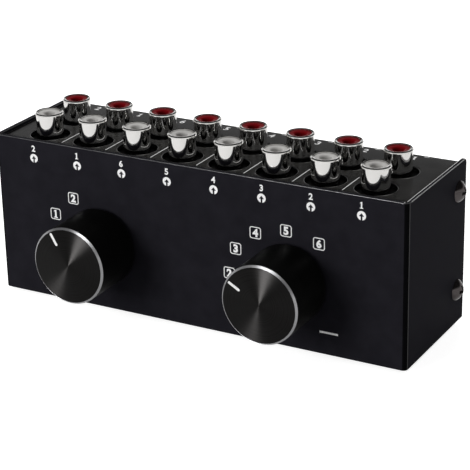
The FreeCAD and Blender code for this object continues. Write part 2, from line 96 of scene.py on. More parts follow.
def colour(name, description, default):
    return FloatVectorProperty(name=name, description=description, default=default, subtype="COLOR", size=3)


def number(name, description, default):
    return FloatProperty(name=name, description=description, default=default)


class SheetSizes(bpy.types.PropertyGroup):
    """Sizes of the two folded sheets."""

    wall: length("Wall", "Thickness of both sheets", 1.2)
    bend: length("Bend", "Outside radius of every fold", 1.5)
    edge: length("Edge", "Width of the softened edges of the front sheet", 0.17)
    plate_edge: length("Plate edge", "Width of the softened edges of the rear sheet", 0.18)
    corner: length("Corner", "Radius of the top rear corners of the sides", 1.4)
    lip: length("Lip", "Height of the lips behind the front", 6.0)
    flange: length("Flange", "Depth of the flanges inside the sides", 10.5)
    flange_inset: length("Flange inset", "Distance of a flange from the top and the bottom", 5.0)
    relief: length("Relief", "Width of the notches at the ends of a flange", 1.6)
    plate_hole: length("Plate hole", "Radius of the hole round each socket", 5.85)
    bushing_hole: length("Bushing hole", "Radius of the hole behind each knob", 4.6)


class SocketSizes(bpy.types.PropertyGroup):
    """Sizes of the turned sleeves and their cores."""

    barrel: length("Barrel", "Outside radius of a sleeve below its rim", 3.98)
    bore: length("Bore", "Inside radius of a sleeve", 3.35)
    flare: length("Flare", "Height over which the barrel widens to the rim", 0.05)
    land: length("Land", "Height of the rim's outer face", 0.32)
    taper: length("Taper", "How far that face leans in", 0.08)
    bevel: length("Bevel", "Width of the bevel at the top of the rim", 0.3)
    fall: length("Fall", "How far the rim's top falls towards its mouth", 0.1)
    dish: length("Dish", "How far a core's face sinks towards its hole", 0.12)


class KnobSizes(bpy.types.PropertyGroup):
    """Sizes of the knobs and their pointers."""

    bevel: length("Bevel", "Width of the bright bevel round the face", 0.55)
    pocket: length("Pocket", "Radius of the hollow behind the knob", 7.7)
    pocket_depth: length("Pocket depth", "Depth of the hollow behind the knob", 4.2)
    bore: length("Bore", "Radius of the hole for the shaft", 3.05)
    bore_depth: length("Bore depth", "Depth of that hole from the hollow", 9.0)
    pointer: length("Pointer", "Width of the pointer's line", 0.78)
    pointer_rise: length("Pointer rise", "Height of the pointer's paint over the face", 0.04)


class ScrewSizes(bpy.types.PropertyGroup):
    """Sizes of the side screws' heads and of the feet."""

    radius: length("Head", "Radius of a head", 3.2)
    recess: length("Recess", "Half the span of the cross recess", 1.6)
    slot: length("Slot", "Half the width of one arm of the recess", 0.42)
    depth: length("Depth", "Depth of the recess", 1.1)
    soft: length("Soft", "Width over which the recess goes down", 0.06)
    foot_edge: length("Foot edge", "Rounding of a foot's lower edge", 0.5)


class PrintSizes(bpy.types.PropertyGroup):
    """Sizes and places of the printed marks, measured from the front's left lower corner."""

    ink: length("Ink", "Thickness of the ink", 0.015)
    icon: length("Icon", "Radius of the round marks under the socket numbers", 1.32)
    icon_level: length("Icon level", "Height of the round marks", 43.05)
    number_level: length("Number level", "Height of the socket numbers", 46.0)
    number_height: length("Number height", "Height of a socket number", 1.9)
    box: length("Box", "Width of the frame round a position number", 3.55)
    box_corner: length("Box corner", "Corner radius of that frame", 0.7)
    box_line: length("Box line", "Line width of that frame", 0.26)
    position_height: length("Position height", "Height of a position number", 2.5)
    line: length("Line", "Width of the thin lines on the plate", 0.28)
    plate_height: length("Plate height", "Height of a number on the plate", 2.6)


class Paints(bpy.types.PropertyGroup):
    """Colours of the finishes."""

    case: colour("Case", "Satin black paint", (0.0142, 0.0137, 0.0176))
    plate: colour("Plate", "Gloss black paint of the rear sheet", (0.0056, 0.0052, 0.005))
    # The edge colour is lighter than the case paint: worn edges, and painted highlight lines along them
    edge: colour("Edge", "Rubbed paint on the folded sheets' edges", (0.08, 0.08, 0.083))
    nickel: colour("Nickel", "Plating of the sleeves", (0.78, 0.77, 0.75))
    white: colour("White core", "Moulding of the left channel", (0.54, 0.53, 0.515))
    red: colour("Red core", "Moulding of the right channel", (0.17, 0.0035, 0.006))
    ink: colour("Ink", "Printing", (0.93, 0.93, 0.93))


class StageSettings(bpy.types.PropertyGroup):
    """The camera, the lamps and the floor."""

    lens: number("Lens", "Focal length in millimetres on a 36 mm sensor", 137.295)
    turn: number("Turn", "How far the camera stands to the right of the front, in degrees", 29.321)
    rise: number("Rise", "How far the camera looks down, in degrees", 22.072)
    roll: number("Roll", "How far the picture is turned, in degrees", -1.30)
    place: FloatVectorProperty(
        name="Place", description="Where the camera stands", default=(0.23917, -0.41177, 0.21857), unit="LENGTH"
    )
    ambient: number("Ambient", "Strength of the even light from all round", 0.25)
    key: number("Key", "Power of the lamp to the left of the front, in watts", 4.6)
    back: number("Back", "Power of the lamp over the back, in watts", 3.6)
    side: number("Side", "Power of the low lamp behind the right end, in watts", 1.3)
    sheen: number("Sheen", "Power of the lamp that only the gloss of the dark pieces shows, in watts", 5.9)
    floor: colour("Floor", "Colour of the floor", (0.8, 0.8, 0.8))
    ceiling: colour("Ceiling", "Colour of the room above the pale backdrop", (0.03, 0.03, 0.03))


class SelectorBoxSettings(bpy.types.PropertyGroup):
    """All the settings of the box."""

    sheets: PointerProperty(type=SheetSizes)
    sockets: PointerProperty(type=SocketSizes)
    knobs: PointerProperty(type=KnobSizes)
    screws: PointerProperty(type=ScrewSizes)
    prints: PointerProperty(type=PrintSizes)
    paints: PointerProperty(type=Paints)
    stage: PointerProperty(type=StageSettings)


def settings():
    return bpy.context.scene.selector_box


# Surfaces

# Half the angle at a corner, in radians, from which it counts as straight
STRAIGHT = 1.56
# The most of a side that the easing of one corner takes up
EASED_SHARE = 0.45
# The rings round a hole, as shares of the way out to the window's edge
RING_SHARES = (0.6, 0.25, 0.0)


def rounded(corners, radius, steps=5):
    """A polyline whose inner corners are eased: each becomes points of the circle that touches both sides."""
    corners = np.array(corners, float)
    pieces = [corners[:1]]
    radii = np.broadcast_to(radius, len(corners) - 2)
    for before, corner, after, wanted in zip(corners, corners[1:], corners[2:], radii):
        a, b = before - corner, after - corner
        long_a, long_b = np.linalg.norm(a), np.linalg.norm(b)
        a, b = a / long_a, b / long_b
        half = math.acos(np.clip(a @ b, -1, 1)) / 2
        if wanted <= 0 or half > STRAIGHT:
            pieces.append(corner[None])
            continue
        reach = min(wanted / math.tan(half), EASED_SHARE * min(long_a, long_b))
        middle = corner + (a + b) / np.linalg.norm(a + b) * reach / math.cos(half)
        turn = math.pi - 2 * half
        share = np.linspace(0, 1, steps + 1)[:, None]
        start, end = corner + a * reach - middle, corner + b * reach - middle
        arc = np.sin((1 - share) * turn) * start + np.sin(share * turn) * end
        pieces.append(middle + arc / math.sin(turn))
    pieces.append(corners[-1:])
    return np.concatenate(pieces)


def on_circle(radius, angle):
    return radius * np.stack([np.cos(angle), np.sin(angle)], 1)


def turned(profile, sides, closed=False):
    """A surface of revolution about Z: the point of ring i and spoke j lies at radius r_i in the direction
    2 pi j / sides, at height h_i. A ring of no radius is one point with a fan of triangles. closed joins the
    last ring to the first. It returns points, faces and each face corner's place (spoke share, ring number)."""
    radius, height = profile.T
    spoke = np.arange(sides)
    rays = on_circle(1, 2 * np.pi * spoke / sides)
    points = np.concatenate([np.column_stack([r * rays, np.full(sides, h)]) for r, h in profile])
    faces, places = [], []
    for low in range(len(profile) if closed else len(profile) - 1):
        high = (low + 1) % len(profile)
        ways = [(low, 0), (low, 1), (high, 1), (high, 0)]
        if radius[high] == 0:
            del ways[2]
        elif radius[low] == 0:
            del ways[1]
        tips = [radius[ring] == 0 for ring, _ in ways]
        faces += np.stack([ring * sides + (0 * spoke if tip else (spoke + step) % sides)
                           for (ring, step), tip in zip(ways, tips)], 1).tolist()
        places.append(np.stack([np.column_stack([(spoke + (0.5 if tip else step)) / sides, 0 * spoke + ring])
                                for (ring, step), tip in zip(ways, tips)], 1).reshape(-1, 2))
    return points, faces, np.concatenate(places)


def joined(parts):
    """One surface from several, each given as its points and faces."""
    starts = np.cumsum([0] + [len(points) for points, _ in parts])
    faces = [[v + start for v in face] for (_, own), start in zip(parts, starts.tolist()) for face in own]
    return np.concatenate([points for points, _ in parts]), faces


def solid_mesh(name, points, faces, smooth=True, places=None):
    """A mesh object at the origin, without loose points, and with a UV map where places are given."""
    used, numbers = np.unique(np.concatenate(faces), return_inverse=True)
    ends = np.cumsum([len(face) for face in faces])[:-1]
    mesh = bpy.data.meshes.new(name)
    mesh.from_pydata(points[used].tolist(), [], [face.tolist() for face in np.split(numbers, ends)])
    mesh.polygons.foreach_set("use_smooth", np.full(len(mesh.polygons), smooth))
    if places is not None:
        mesh.uv_layers.new(name="turning").data.foreach_set("uv", places.astype(np.float32).ravel())
    mesh.validate()
    mesh.update()
    made = bpy.data.objects.new(name, mesh)
    bpy.context.scene.collection.objects.link(made)
    return made


def rows_of(items, what):
    """Three numbers of each of a mesh's items, such as a corner's place or a face's middle."""
    rows = np.empty((len(items), 3))
    items.foreach_get(what, rows.ravel())
    return rows


def number_faces(made, numbers):
    """Says which of the piece's finishes each face wears."""
    made.data.polygons.foreach_set("material_index", numbers.astype(np.int32))
    made.data.update()


def set_all(thing, values):
    for key, value in values.items():
        setattr(thing, key, value)
    return thing


def modified(made, kind, **values):
    set_all(made.modifiers.new(kind.lower(), kind), values)


def crisp(made, angle):
    """Marks edges past the angle sharp, and lets the large faces set the shading beside small roundings."""
    made.data.set_sharp_from_angle(angle=math.radians(angle))
    modified(made, "WEIGHTED_NORMAL", keep_sharp=True)
    return made


def turned_copies(name, profile, sides, centres, closed=False):
    """One piece of equal turned bodies, with one at each centre."""
    points, faces, _ = turned(profile, sides, closed)
    return crisp(solid_mesh(name, *joined([(points + centre, faces) for centre in centres])), 40)


def folded(corners, radius):
    """A folded sheet's outside line: distances along it and the points there."""
    points = rounded(corners, radius, steps=8)
    return np.concatenate([[0], np.cumsum(np.linalg.norm(np.diff(points, axis=0), axis=1))]), points


def reached(line, axis, level):
    """The number of the first point of a line that lies at a level along an axis."""
    return int(np.argmax(abs(line[:, axis] - level) < CLOSE))


def followed(s, along, line):
    """The points at distances s along a line."""
    return np.stack([np.interp(s, along, line[:, k]) for k in (0, 1)], 1)


def lines_through(*groups):
    """Sorted grid lines without near repeats."""
    lines = np.sort(np.concatenate([np.atleast_1d(g) for g in groups]))
    return lines[np.concatenate([[True], np.diff(lines) > 10 * CLOSE])]


def window_lines(windows, axis, steps):
    """Grid lines that cut each window in equal steps, along s for axis 0 and along t for axis 1."""
    return [np.linspace(*window[axis], steps + 1) for window in windows]


def holed_sheet(s_lines, t_lines, windows, kept):
    """A flat grid over s and t with round holes. Round each hole the cells of a rectangular window give way to
    rings that pass from the window's edge to the circle, each point along the ray from the hole's middle. A
    window is its span along s and along t, and the circle's middle and radius. kept says by cell which others
    stay. It returns the points' s and t, and the faces."""
    rows, columns = len(s_lines), len(t_lines)
    points = [np.stack(np.meshgrid(s_lines, t_lines, indexing="ij"), -1).reshape(-1, 2)]
    kept = kept.copy()
    faces = []
    start = rows * columns
    for s_span, t_span, middle, radius in windows:
        i0, i1 = (int(np.argmin(abs(s_lines - v))) for v in s_span)
        j0, j1 = (int(np.argmin(abs(t_lines - v))) for v in t_span)
        kept[i0:i1, j0:j1] = False
        edge = np.concatenate([
            np.arange(i0, i1) * columns + j0,
            i1 * columns + np.arange(j0, j1),
            np.arange(i1, i0, -1) * columns + j1,
            i0 * columns + np.arange(j1, j0, -1),
        ])
        outer = points[0][edge]
        ray = outer - middle
        inner = middle + radius * ray / np.linalg.norm(ray, axis=1)[:, None]
        numbers = edge
        for share in RING_SHARES:
            points.append(inner + (outer - inner) * share)
            closer = start + np.arange(len(edge))
            faces += np.stack([numbers, np.roll(numbers, -1), np.roll(closer, -1), closer], 1).tolist()
            numbers, start = closer, start + len(edge)
    i, j = np.nonzero(kept)
    corner = i * columns + j
    faces += np.stack([corner, corner + columns, corner + columns + 1, corner + 1], 1).tolist()
    return np.concatenate(points), faces


def thickened(made, wall, edge):
    """Gives a sheet its wall, inwards, softens its edges and keeps its flats flat."""
    modified(made, "SOLIDIFY", thickness=wall, offset=-1, use_even_offset=True)
    # The bevel's faces wear the sheet's second finish, the lighter edge paint with its painted highlight lines
    modified(made, "BEVEL", width=edge, segments=3, limit_method="ANGLE", angle_limit=math.radians(50),
             use_clamp_overlap=False, material=1)
    modified(made, "WEIGHTED_NORMAL")
    return made


def facing_front(points):
    """Turns a piece built up along Z so that it stands out of the front, along -Y."""
    return np.stack([points[:, 0], -points[:, 2], points[:, 1]], 1)


def facing_side(points, side):
    """Turns a piece built up along Z so that it stands out of the right side, or with side -1 of the left."""
    return np.stack([side * points[:, 2], side * points[:, 0], points[:, 1]], 1)


# Finishes

# Nearly all of a noise's values lie between these
NOISE_SPAN = (0.3, 0.7)


def fill(node, inputs):
    """Gives a node's inputs their values. A value that is another node's output is joined to its input."""
    for key, value in inputs.items():
        if isinstance(value, bpy.types.NodeSocket):
            node.id_data.links.new(value, node.inputs[key])
        else:
            node.inputs[key].default_value = value


def add(tree, kind, inputs, out=0, **values):
    """Adds a shader node with its own values and its inputs' values, and returns one of its outputs."""
    node = set_all(tree.nodes.new("ShaderNode" + kind), values)
    fill(node, inputs)
    return node.outputs[out]


def maths(tree, operation, *inputs):
    return add(tree, "Math", dict(enumerate(inputs)), operation=operation)


def new_finish(name):
    """An empty material, with its tree and its shader."""
    made = bpy.data.materials.new(name)
    made.use_nodes = True
    return made, made.node_tree, made.node_tree.nodes["Principled BSDF"]


def mottled(tree, scale, detail, stretch=(1.0, 1.0, 1.0)):
    """Noise that sits still on the object: scale is in lumps per metre."""
    place = add(tree, "TexCoord", {}, "Object")
    mapped = add(tree, "Mapping", {"Vector": place, "Scale": stretch})
    return add(tree, "TexNoise", {"Vector": mapped, "Scale": scale, "Detail": detail}, "Fac")


def varied(tree, source, low, high):
    """A value from low to high as the source goes over the middle of its range."""
    low_end, high_end = NOISE_SPAN
    return add(tree, "MapRange", {
        "Value": source, "From Min": low_end, "From Max": high_end, "To Min": low, "To Max": high,
    })


def tinted(tree, source, first, second, span=NOISE_SPAN):
    """A colour that goes from the first to the second as the source goes over a span."""
    tint = add(tree, "ValToRGB", {"Fac": source})
    for stop, place, hue in zip(tint.node.color_ramp.elements, span, (first, second)):
        stop.position = place
        stop.color = (*hue, 1)
    return tint


def surface_finish(name, base, rough, metal=0.0, specular=0.5, lumps=1500.0, relief=0.02, spread=0.12,
                   stretch=(1.0, 1.0, 1.0)):
    """A finish whose colour, roughness and fine relief all wander with noise that is fixed to the object."""
    made, tree, shader = new_finish(name)
    broad = mottled(tree, lumps / 12, 3.0, stretch)
    fine = mottled(tree, lumps, 2.0, stretch)
    base = np.array(base)
    fill(shader, {
        "Metallic": metal,
        "Specular IOR Level": specular,
        "Base Color": tinted(tree, broad, base * (1 - spread), np.clip(base * (1 + spread), 0, 1)),
        "Roughness": varied(tree, broad, rough * 0.85, rough * 1.15),
        "Normal": add(tree, "Bump", {"Strength": relief, "Distance": 0.1 * MM, "Height": fine}),
    })
    return made


def spun_finish(name, axis, base, rough, turned_lines, cone):
    """Metal turned on a lathe: the sheen runs round the axis. Tint and roughness change from ring to ring, by
    noise that is read along the distance from the axis, and the face falls away from the axis as a low cone."""
    made, tree, shader = new_finish(name)
    place = add(tree, "TexCoord", {}, "Object")
    flat = add(tree, "Mapping", {
        "Vector": place, "Location": (-axis[0], 0, -axis[2]), "Scale": (1, 0, 1),
    })
    away = add(tree, "VectorMath", {0: flat}, "Value", operation="LENGTH")
    rings = add(tree, "TexNoise", {"W": away, "Scale": turned_lines, "Detail": 4.0}, "Fac",
                noise_dimensions="1D")
    base = np.array(base)
    fill(shader, {
        "Metallic": 1.0,
        "Anisotropic": 1.0,
        "Anisotropic Rotation": 0.25,
        "Tangent": add(tree, "Tangent", {}, direction_type="UV_MAP", uv_map="turning"),
        "Roughness": varied(tree, rings, rough * 0.85, rough * 1.15),
        "Base Color": tinted(tree, rings, base * 0.8, base * 1.2),
    })
    if cone:
        fall = maths(tree, "MULTIPLY", away, -cone)
        fill(shader, {"Normal": add(tree, "Bump", {"Distance": 1.0, "Height": fall})})
    return made


# Paints a pale band onto a finish, used for painted highlight lines on the sheets' edges
def paled_within(made, pale, **spans):
    """Turns a finish pale where the object's place lies within both spans, each the low and the high end along
    an axis."""
    tree = made.node_tree
    shader = tree.nodes["Principled BSDF"]
    place = add(tree, "TexCoord", {}, "Object")
    parts = add(tree, "SeparateXYZ", {"Vector": place}).node.outputs
    within = []
    for axis, (low, high) in spans.items():
        within.append(maths(tree, "COMPARE", parts[axis], (low + high) / 2, (high - low) / 2))
    both = maths(tree, "MULTIPLY", *within)
    base = shader.inputs["Base Color"].links[0].from_socket
    # A Mix node of colours has its factor at 0, its colours at 6 and 7 and its result at 2
    mixed = add(tree, "Mix", {}, 2, data_type="RGBA")
    fill(mixed.node, {0: both, 6: base, 7: (*pale, 1)})
    fill(shader, {"Base Color": mixed})
    return made


PAINT = dict(lumps=2600.0, relief=0.05)
MOULDING = dict(specular=0.05, lumps=900.0, relief=0.04, spread=0.06)
# By name, a finish's colour or the setting that holds it, its roughness, and what else it needs
FINISHES = {
    "case_paint": ("case", 0.42, dict(PAINT, specular=0.004)),
    # Painted shade and painted highlight for the front folds of the front sheet
    "bend_paint": ((0.0025, 0.0025, 0.003), 0.42, dict(PAINT, specular=0.01)),
    "rubbed_paint": ((0.05, 0.05, 0.052), 0.42, dict(PAINT, specular=0.2)),
    "plate_paint": ("plate", 0.19, dict(specular=0.4, lumps=1800.0)),
    # Lighter, glossier paint for the softened edges: worn edges that also carry painted highlight lines
    "edge_paint": ("edge", 0.3, dict(PAINT, metal=0.3)),
    "worn_edge_paint": ("edge", 0.3, dict(PAINT, metal=0.3)),
    "printing_ink": ("ink", 0.5, dict(lumps=4000.0, relief=0.03, spread=0.08)),
    "nickel_plating": ("nickel", 0.07, dict(metal=1.0, lumps=2500.0, relief=0.01, spread=0.03)),
    "white_moulding": ("white", 0.3, MOULDING),
    "red_moulding": ("red", 0.3, MOULDING),
    "knob_side": ((0.0042, 0.0042, 0.004), 0.45, dict(specular=0.06, lumps=3000.0, relief=0.05)),
    "pointer_paint": ((0.93, 0.93, 0.92), 0.5, dict(lumps=3000.0, relief=0.03)),
    "black_oxide": ((0.08, 0.07, 0.07), 0.16, dict(metal=0.9, lumps=2500.0, relief=0.04)),
    "foot_rubber": ((0.02, 0.02, 0.02), 0.8, dict(specular=0.3, lumps=2000.0, relief=0.2)),
    "block_moulding": ((0.005, 0.005, 0.005), 0.4, dict(specular=0.2, lumps=900.0, relief=0.05)),
    "board_laminate": ((0.02, 0.09, 0.04), 0.45, dict(lumps=1200.0, relief=0.1)),
    "plated_steel": ((0.55, 0.55, 0.56), 0.3, dict(metal=1.0, relief=0.05)),
    "switch_moulding": ((0.03, 0.025, 0.02), 0.5, dict(lumps=800.0, relief=0.1)),
    "terminal_tin": ((0.6, 0.58, 0.53), 0.35, dict(metal=1.0, lumps=2000.0, relief=0.1)),
    "ribbon_grey": ((0.3, 0.31, 0.33), 0.6, dict(relief=0.1, stretch=(8.0, 1.0, 1.0))),
}
# A knob's metal: its colour, roughness, turned lines per metre and how steeply it falls from the axis
KNOB_METAL = {"face": ((0.0135, 0.013, 0.0128), 0.36, 3000.0, 0.25), "bevel": ((0.4, 0.4, 0.41), 0.4, 9000.0, 0)}


def finish(name):
    base, rough, more = FINISHES[name]
    if isinstance(base, str):
        base = getattr(settings().paints, base)
    return surface_finish(name, base, rough, **more)


def case_paint():
    """Satin paint, with a painted highlight line along the inner top edge of the right side."""
    inner, top = COVER_HIGH[0] - settings().sheets.wall, COVER_HIGH[2]
    # The pale band here is a painted highlight line
    return paled_within(finish("case_paint"), (0.7, 0.7, 0.7), X=(inner - 0.32 * MM, inner + 0.32 * MM),
                          Z=(top - 0.15 * MM, top + MM))


def worn_edge_paint():
    """Edge paint made pale on the right half, back from the front: worn edges, and a painted highlight along the
    right side's edge lines.
    """
    # Only the right half is made pale, where the edge lines carry the painted highlight
    return paled_within(finish("worn_edge_paint"), (0.4, 0.4, 0.4), X=(0, COVER_HIGH[0] + MM),
                          Y=(COVER_LOW[1] + 2 * MM, COVER_HIGH[1] + MM))


def wear(made, *finishes):
    """Gives a piece its finishes, in the order of its faces' numbers. Emptying a list resets those numbers, so
    only a CAD node's own list is emptied."""
    if made.data.materials:
        made.data.materials.clear()
    for each in finishes:
        made.data.materials.append(each)
    return made


# Sheets

# How far round a front fold, in radians, the painted shade begins, and the painted highlight begins and ends
SHADE_FROM, HIGHLIGHT_FROM, HIGHLIGHT_TO = 0.1, 1.1, 1.45


def build_cover():
    """The front sheet: its outside line runs from the left side's rear edge round the front to the right side's,
    along s, and t is the height. Each control has its round hole in the front. A painted highlight runs along the
    outer part of each front fold, and painted shade darkens the rest of the fold."""
    sizes = settings().sheets
    (left, front, bottom), (right, rear, top) = COVER_LOW, COVER_HIGH
    along, line = folded([(left, rear), (left, front), (right, front), (right, rear)], sizes.bend)
    start = reached(line, 1, front)
    # Half the width of the window round a hole, and its steps
    half, steps = sizes.bushing_hole * 1.3, 10
    windows = []
    for control in CONTROLS:
        x, _, z = AXES[f"{control}_control"]
        s = along[start] + x - line[start, 0]
        windows.append(((s - half, s + half), (z - half, z + half), (s, z), sizes.bushing_hole))
    ends = np.linspace(0, sizes.corner, 7)
    s_lines = lines_through(along, ends, along[-1] - ends, *window_lines(windows, 0, steps))
    t_lines = lines_through([bottom, top], top - ends, *window_lines(windows, 1, steps))
    st, faces = holed_sheet(s_lines, t_lines, windows, np.ones((len(s_lines) - 1, len(t_lines) - 1), bool))
    s, t = round_corners(*st.T, along[-1], top, sizes.corner)
    made = solid_mesh("front_cover_sheet", np.column_stack([followed(s, along, line), t]), faces)
    x, y, _ = rows_of(made.data.polygons, "center").T
    past = abs(x) - (right - sizes.bend)
    fold = np.where(past > 0, np.arctan2(past, front + sizes.bend - y), 0)
    # Faces on the outer part of a fold get the painted highlight, and faces deeper in get painted shade
    highlight_band = (fold > HIGHLIGHT_FROM) & (fold < HIGHLIGHT_TO)
    deep = (fold > SHADE_FROM) & (fold < HIGHLIGHT_FROM)
    number_faces(made, np.select([highlight_band, deep], [3, 2], 0))
    return thickened(made, sizes.wall, sizes.edge)


def round_corners(s, t, end, top, radius):
    """Moves the square at each top corner into a quarter disc: with a and b the shares of the way to the two
    edges, a becomes a sqrt(1 - b b / 2) and b becomes b sqrt(1 - a a / 2)."""
    b = np.clip((t - (top - radius)) / radius, 0, 1)
    for past, toward in ((radius - s, -1), (s - end + radius, 1)):
        a = np.clip(past / radius, 0, 1)
        near = (a > 0) & (b > 0)
        s = np.where(near, s + toward * radius * (a * np.sqrt(1 - b * b / 2) - a), s)
        t = np.where(near, t + radius * (b * np.sqrt(1 - a * a / 2) - b), t)
        b = np.where(near, 0, b)
    return s, t


def build_chassis():
    """The rear sheet: its outside line runs from the lower lip back along the base, up the back, forward
    along the plate and down the upper lip, along s, and t is x. The back alone goes on past its ends, where
    it turns forward into a flange, and a notch parts each flange from the base and the plate."""
    sizes = settings().sheets
    (left, front, bottom), (right, back, top) = CHASSIS_LOW, CHASSIS_HIGH
    along, line = folded(
        [(front, bottom + sizes.lip), (front, bottom), (back, bottom), (back, top), (front, top),
         (front, top - sizes.lip)],
        sizes.bend,
    )
    start = reached(line, 1, top)
    # A window ends nearer its hole towards the front, where the plate bends
    reach, near, steps = 6.6 * MM, sizes.plate_hole + 0.25 * MM, 12
    windows = []
    for hue in COLOURS:
        for x, y, _ in socket_places(hue):
            s = along[start] + line[start, 0] - y
            windows.append(((s - reach, s + near), (x - reach, x + reach), (s, x), sizes.plate_hole))
    start = reached(line, 0, back)
    low, high = (along[start] - line[start, 1] + z
                 for z in (COVER_LOW[2] + sizes.flange_inset, COVER_HIGH[2] - sizes.flange_inset))
    notches = [low - sizes.relief, low, high, high + sizes.relief]
    flat_end = sizes.bend + sizes.relief / 2
    s_lines = lines_through(along, notches, *window_lines(windows, 0, steps))
    t_lines = lines_through([left, left + flat_end, right - flat_end, right], *window_lines(windows, 1, steps))
    s_mid, t_mid = ((lines[1:] + lines[:-1]) / 2 for lines in (s_lines, t_lines))
    past = (t_mid < left + flat_end) | (t_mid > right - flat_end)
    cut = (s_mid > notches[0]) & (s_mid < notches[3])
    st, faces = holed_sheet(s_lines, t_lines, windows, ~(cut[:, None] & past[None]))
    points = [np.column_stack([st[:, 1], followed(st[:, 0], along, line)])]
    rows = np.nonzero((s_lines > low - CLOSE) & (s_lines < high + CLOSE))[0]
    flange_z = np.interp(s_lines[rows], along, line[:, 1])
    _, bent = folded([(0, 0), (flat_end, 0), (flat_end, sizes.flange)], sizes.bend)
    first = len(st)
    for side, edge in ((1, right - flat_end), (-1, left + flat_end)):
        shared = rows * len(t_lines) + np.argmin(abs(t_lines - edge))
        x, y = edge + side * bent[1:, 0], back - bent[1:, 1]
        strip = np.stack(np.broadcast_arrays(x, y, flange_z[:, None]), -1)
        points.append(strip.reshape(-1, 3))
        own = first + np.arange(len(points[-1])).reshape(len(rows), -1)
        numbers = np.column_stack([shared, own])
        quads = np.stack([numbers[:-1, :-1], numbers[1:, :-1], numbers[1:, 1:], numbers[:-1, 1:]], -1)
        faces += quads.reshape(-1, 4)[:, ::side].tolist()
        first += own.size
    made = solid_mesh("rear_chassis_sheet", np.concatenate(points), faces)
    return thickened(made, sizes.wall, sizes.plate_edge)


# Turned and moulded pieces

SLEEVE_SIDES, CORE_SIDES, KNOB_SIDES, SCREW_SIDES, FOOT_SIDES = 96, 72, 128, 96, 64


def build_sleeves(hue):
    """Turned sleeves: a straight barrel that steps out to a rim, whose outer face leans in to a bevel and whose
    top falls a little towards the mouth."""
    sizes = settings().sockets
    foot, top = SLEEVE_LOW[2], SLEEVE_HIGH[2]
    land_top = top - sizes.bevel
    land_low = land_top - sizes.land
    corners = [
        (sizes.barrel, foot),
        (sizes.barrel, land_low - sizes.flare),
        (RIM_RADIUS, land_low),
        (RIM_RADIUS - sizes.taper, land_top),
        (RIM_RADIUS - sizes.taper - sizes.bevel, top),
        (sizes.bore, top - sizes.fall),
        (sizes.bore, foot),
    ]
    radii = np.array([0.04, 0.03, 0.03, 0.06, 0.05]) * MM
    profile = rounded(corners, radii)
    return turned_copies(f"{hue}_turned_sleeves", profile, SLEEVE_SIDES, socket_places(hue), closed=True)


def build_cores(hue):
    """Moulded cores: the face sinks a little towards an eased hole for the pin, and its edge is eased too."""
    sizes = settings().sockets
    foot, top = CORE_LOW[2], CORE_HIGH[2]
    play, cone_width, cone_depth = 0.02 * MM, 0.35 * MM, 0.3 * MM
    outer, pin, pin_end = sizes.bore - play, PIN_HOLE["r_mm"], top - PIN_HOLE["length_mm"]
    corners = [
        (0, foot),
        (outer, foot),
        (outer, top),
        (pin + cone_width, top - sizes.dish),
        (pin, top - sizes.dish - cone_depth),
        (pin, pin_end),
        (0, pin_end),
    ]
    radii = np.array([0.1, 0.25, 0.2, 0.15, 0.2]) * MM
    return turned_copies(f"{hue}_moulded_cores", rounded(corners, radii), CORE_SIDES, socket_places(hue))


def build_knob(control):
    """A turned knob about its own axis, from the middle of its face over the bevel and side to the hollow
    behind. The face, the bevel and the rest have a finish each."""
    sizes = settings().knobs
    low, high = node_box(f"{control}_knob")
    x, _, z = AXES[f"{control}_control"]
    reach, rear = -low[1], -high[1]
    radius = (high[0] - low[0]) / 2
    face_edge = radius - sizes.bevel
    inner = rear + sizes.pocket_depth
    radii = np.array([0.0, 0.1, 0.3, 0.15, 0.3, 0.08]) * MM
    body = rounded([
        (0, inner + sizes.bore_depth),
        (sizes.bore, inner + sizes.bore_depth),
        (sizes.bore, inner),
        (sizes.pocket, inner),
        (sizes.pocket, rear),
        (radius, rear),
        (radius, reach - sizes.bevel),
        (face_edge, reach),
    ], radii)
    rings = 13
    face = np.column_stack([np.linspace(face_edge, 0, rings), np.full(rings, reach)])
    points, faces, places = turned(np.concatenate([body[:-1], face]), KNOB_SIDES)
    made = solid_mesh(f"{control}_turned_knob", facing_front(points) + (x, 0, z), faces, places=places)
    middles = rows_of(made.data.polygons, "center")
    out = np.hypot(middles[:, 0] - x, middles[:, 2] - z)
    forward = -middles[:, 1]
    on_face = (forward > reach - 10 * CLOSE) & (out < face_edge)
    on_bevel = forward > reach - sizes.bevel + 0.02 * MM
    number_faces(made, np.select([on_face, on_bevel], [1, 2], 0))
    return crisp(made, 30)


def build_pointer(control):
    """The painted line on a knob's face: two half circles joined by straights, between the ends and in the
    direction of the solid pointer."""
    sizes = settings().knobs
    x, _, z = AXES[f"{control}_control"]
    flat = rows_of(frame["nodes"][f"{control}_knob_pointer"].data.vertices, "co")[:, [0, 2]] - (x, z)
    toward = flat.mean(0) / np.linalg.norm(flat.mean(0))
    reach = flat @ toward
    half = sizes.pointer / 2
    cap = on_circle(half, np.linspace(-np.pi / 2, np.pi / 2, 9))
    outline = np.concatenate([cap + (reach.max() - half, 0), -cap + (reach.min() + half, 0)])
    turn = np.array([toward, [-toward[1], toward[0]]])
    points, faces = inked([outline @ turn], sizes.pointer_rise)
    points = facing_front(points) + (x, node_box(f"{control}_knob")[0][1], z)
    return solid_mesh(f"{control}_painted_pointer", points, faces, smooth=False)


